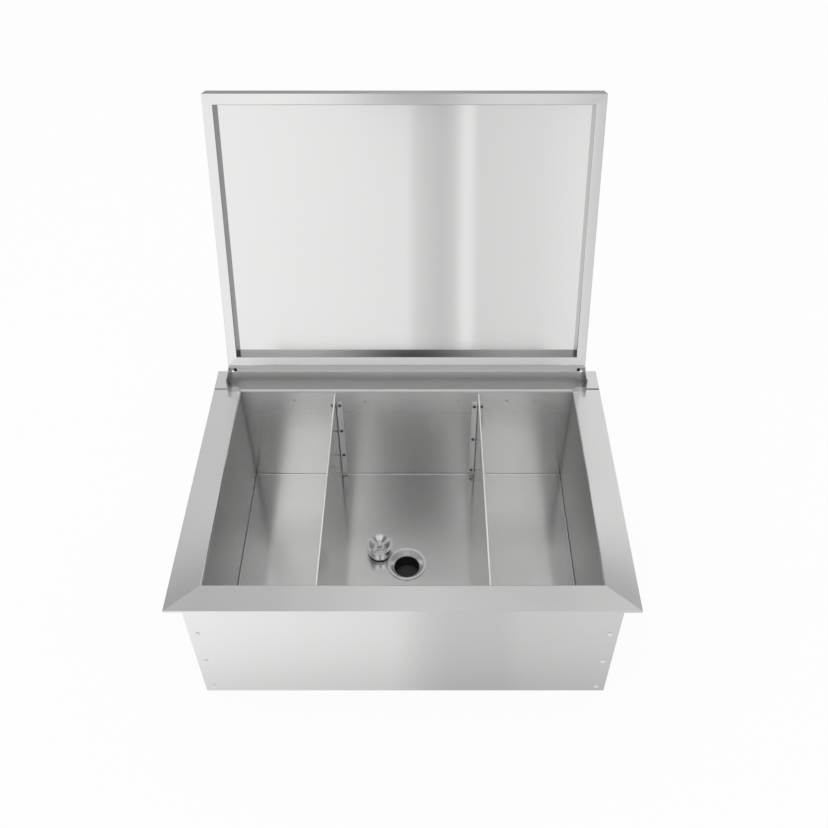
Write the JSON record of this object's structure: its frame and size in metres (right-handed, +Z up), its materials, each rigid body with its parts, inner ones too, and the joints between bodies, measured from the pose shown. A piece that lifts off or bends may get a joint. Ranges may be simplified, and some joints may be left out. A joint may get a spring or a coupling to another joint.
{
  "type": "built-in ice bin",
  "caption": "Drop-in insulated ice bin for a bar worktop: steel basin with lift-out dividers, drain and loose plug, and a hinged lid that leans open on its stops.",
  "frame": {"origin": "middle of the base's underside, straight below the middle of the rim", "axes": "+X to the right seen from the front, +Y to the back, +Z up"},
  "size_m": [0.7, 0.6786, 0.7497],
  "materials": {
    "rim_steel": "brushed along each rail",
    "basin_steel": "satin, faint grain",
    "shell_steel": "brushed along its length",
    "rivet_steel": "bright",
    "guide_steel": "brushed upright",
    "screw_steel": "bright",
    "divider_steel": "brushed along its length",
    "drain_chrome": "polished",
    "plug_chrome": "polished",
    "rubber": "matte",
    "nut_plastic": "matte",
    "black_plastic": "matte, moulded",
    "lid_steel": "brushed along each side",
    "lid_panel_steel": "brushed upright",
    "hinge_steel": "brushed",
    "foam": "closed-cell foam"
  },
  "bodies": {
    "bin": {"basin_liner": "basin_steel", "drain_flange": "drain_chrome", "drain_gasket": "rubber", "drain_locknut": "nut_plastic", "drain_seal": "rubber", "drain_tail": "black_plastic", "foam_jacket": "foam", "guide_front_left_left_edge": "guide_steel", "guide_front_left_right_edge": "guide_steel", "guide_front_right_left_edge": "guide_steel", "guide_front_right_right_edge": "guide_steel", "guide_rear_left_left_edge": "guide_steel", "guide_rear_left_right_edge": "guide_steel", "guide_rear_right_left_edge": "guide_steel", "guide_rear_right_right_edge": "guide_steel", "guide_screws_front": "screw_steel", "guide_screws_rear": "screw_steel", "hinge_bracket_left": "hinge_steel", "hinge_bracket_right": "hinge_steel", "hinge_pin_left": "hinge_steel", "hinge_pin_right": "hinge_steel", "rim_rail_front": "rim_steel", "rim_rail_left": "rim_steel", "rim_rail_rear": "rim_steel", "rim_rail_right": "rim_steel", "shell_base": "shell_steel", "shell_front": "shell_steel", "shell_left": "shell_steel", "shell_rear": "shell_steel", "shell_right": "shell_steel", "shell_rivets_front": "rivet_steel", "shell_rivets_rear": "rivet_steel", "stop_pin_left": "hinge_steel", "stop_pin_right": "hinge_steel"},
    "lid": {"lid_bush_left": "black_plastic", "lid_bush_right": "black_plastic", "lid_hinge_leaf": "hinge_steel", "lid_pad": "foam", "lid_panel": "lid_panel_steel", "lid_rail_front": "lid_steel", "lid_rail_left": "lid_steel", "lid_rail_rear": "lid_steel", "lid_rail_right": "lid_steel", "lid_skin": "lid_steel"},
    "divider_left": {"divider_left": "divider_steel"},
    "divider_right": {"divider_right": "divider_steel"},
    "plug": {"plug_cup": "plug_chrome", "plug_seal": "rubber"},
    "plug_stem": {"plug_knob": "plug_chrome", "plug_stopper": "rubber"}
  },
  "joints": [
    {"name": "lid_hinge", "type": "hinge", "parent": "bin", "child": "lid", "pos_m": [0, 0.249, 0.282], "axis": [-1, 0, 0], "range_deg": [-108, 0]},
    {"name": "divider_left_lift", "type": "slide", "parent": "bin", "child": "divider_left", "axis": [0, 0, 1], "range_m": [0, 0.235]},
    {"name": "divider_right_lift", "type": "slide", "parent": "bin", "child": "divider_right", "axis": [0, 0, 1], "range_m": [0, 0.235]},
    {"name": "plug_lift", "type": "slide", "parent": "bin", "child": "plug", "axis": [0, 0, 1], "range_m": [0, 0.25]},
    {"name": "plug_stem_lift", "type": "slide", "parent": "plug", "child": "plug_stem", "axis": [0, 0, 1], "range_m": [0, 0.006]}
  ]
}
